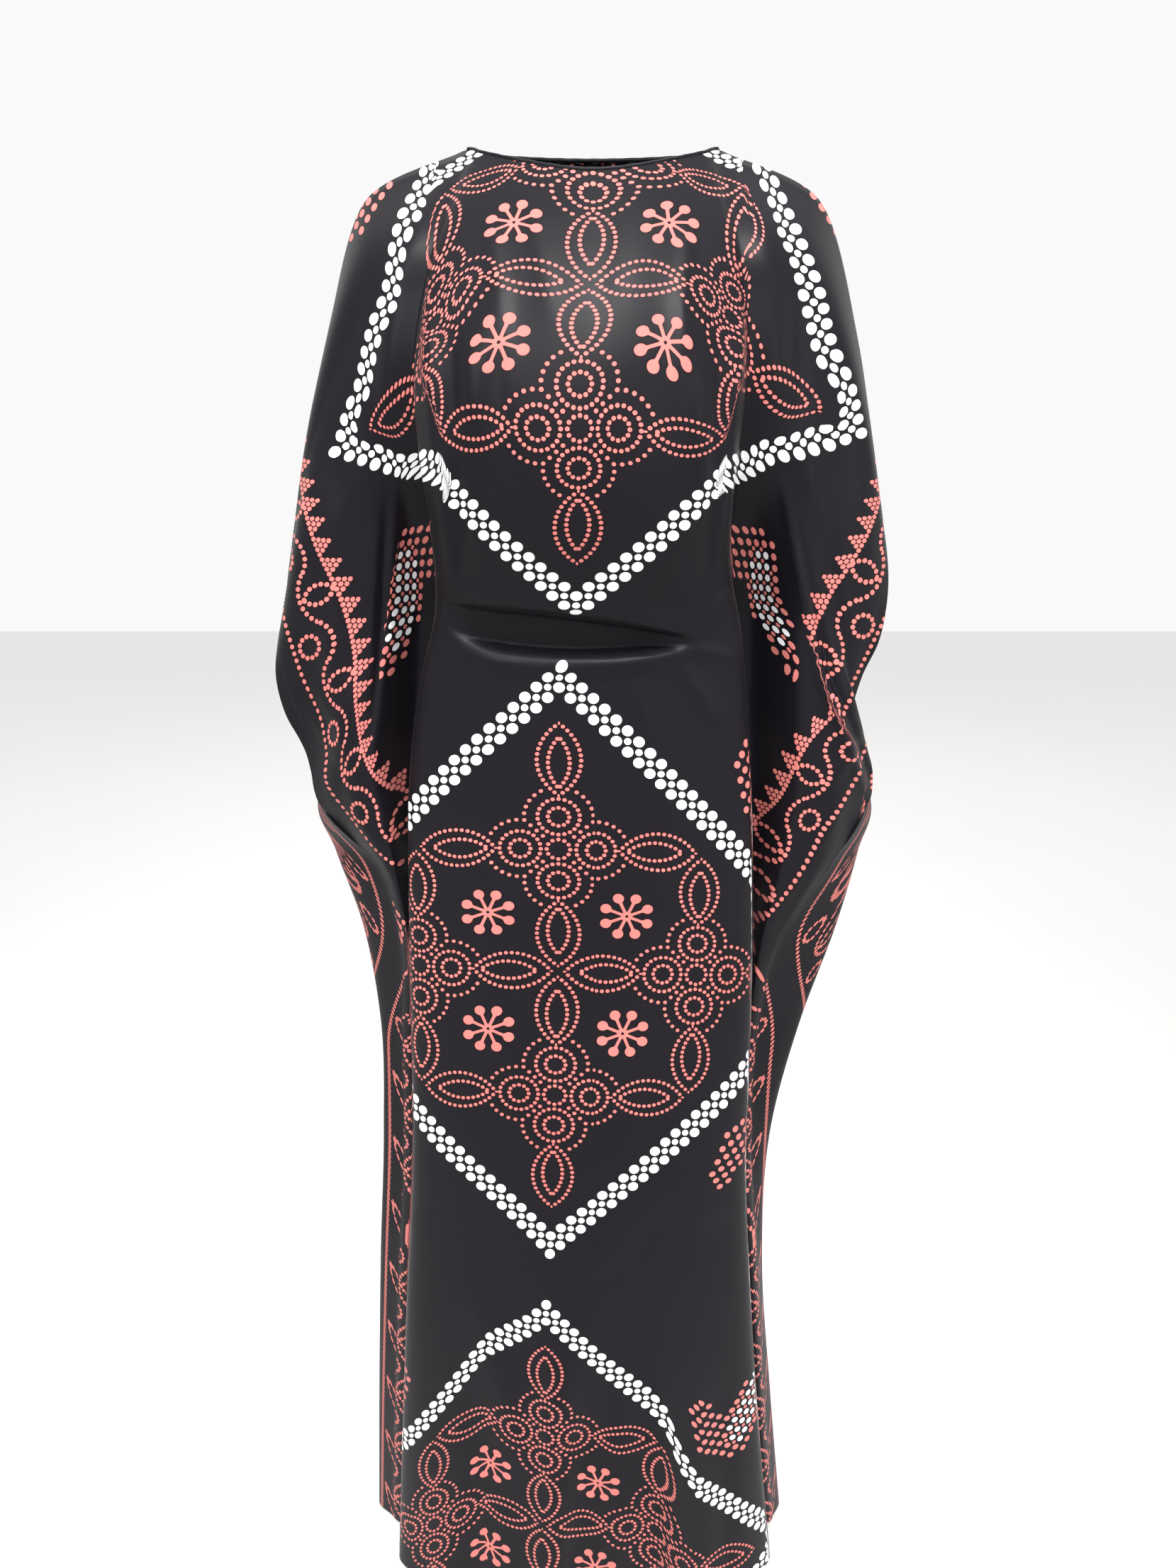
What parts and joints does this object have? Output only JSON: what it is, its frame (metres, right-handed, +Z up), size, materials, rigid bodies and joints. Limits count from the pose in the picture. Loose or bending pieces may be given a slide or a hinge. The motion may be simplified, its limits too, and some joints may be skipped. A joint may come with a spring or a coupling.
{
  "type": "baati dress",
  "caption": "Loose floor-length dress of one wide printed satin length, folded over the shoulders, with wing sleeves, side slits for the hands and a drawn-in waist, worn and hollow",
  "frame": {"origin": "middle of the neck at the height of the shoulder line, where the wearer's shoulders carry the dress", "axes": "+Z up, front faces -Y, +X to the right seen from the front"},
  "size_m": [0.5694, 0.2771, 1.5019],
  "materials": {
    "printed_satin": "black satin printed with pink and white dotted ornament",
    "binding": "narrow rolled edge of the same black satin"
  },
  "bodies": {
    "root": {"front": "printed_satin", "back": "printed_satin", "neck_binding": "binding"}
  },
  "joints": []
}
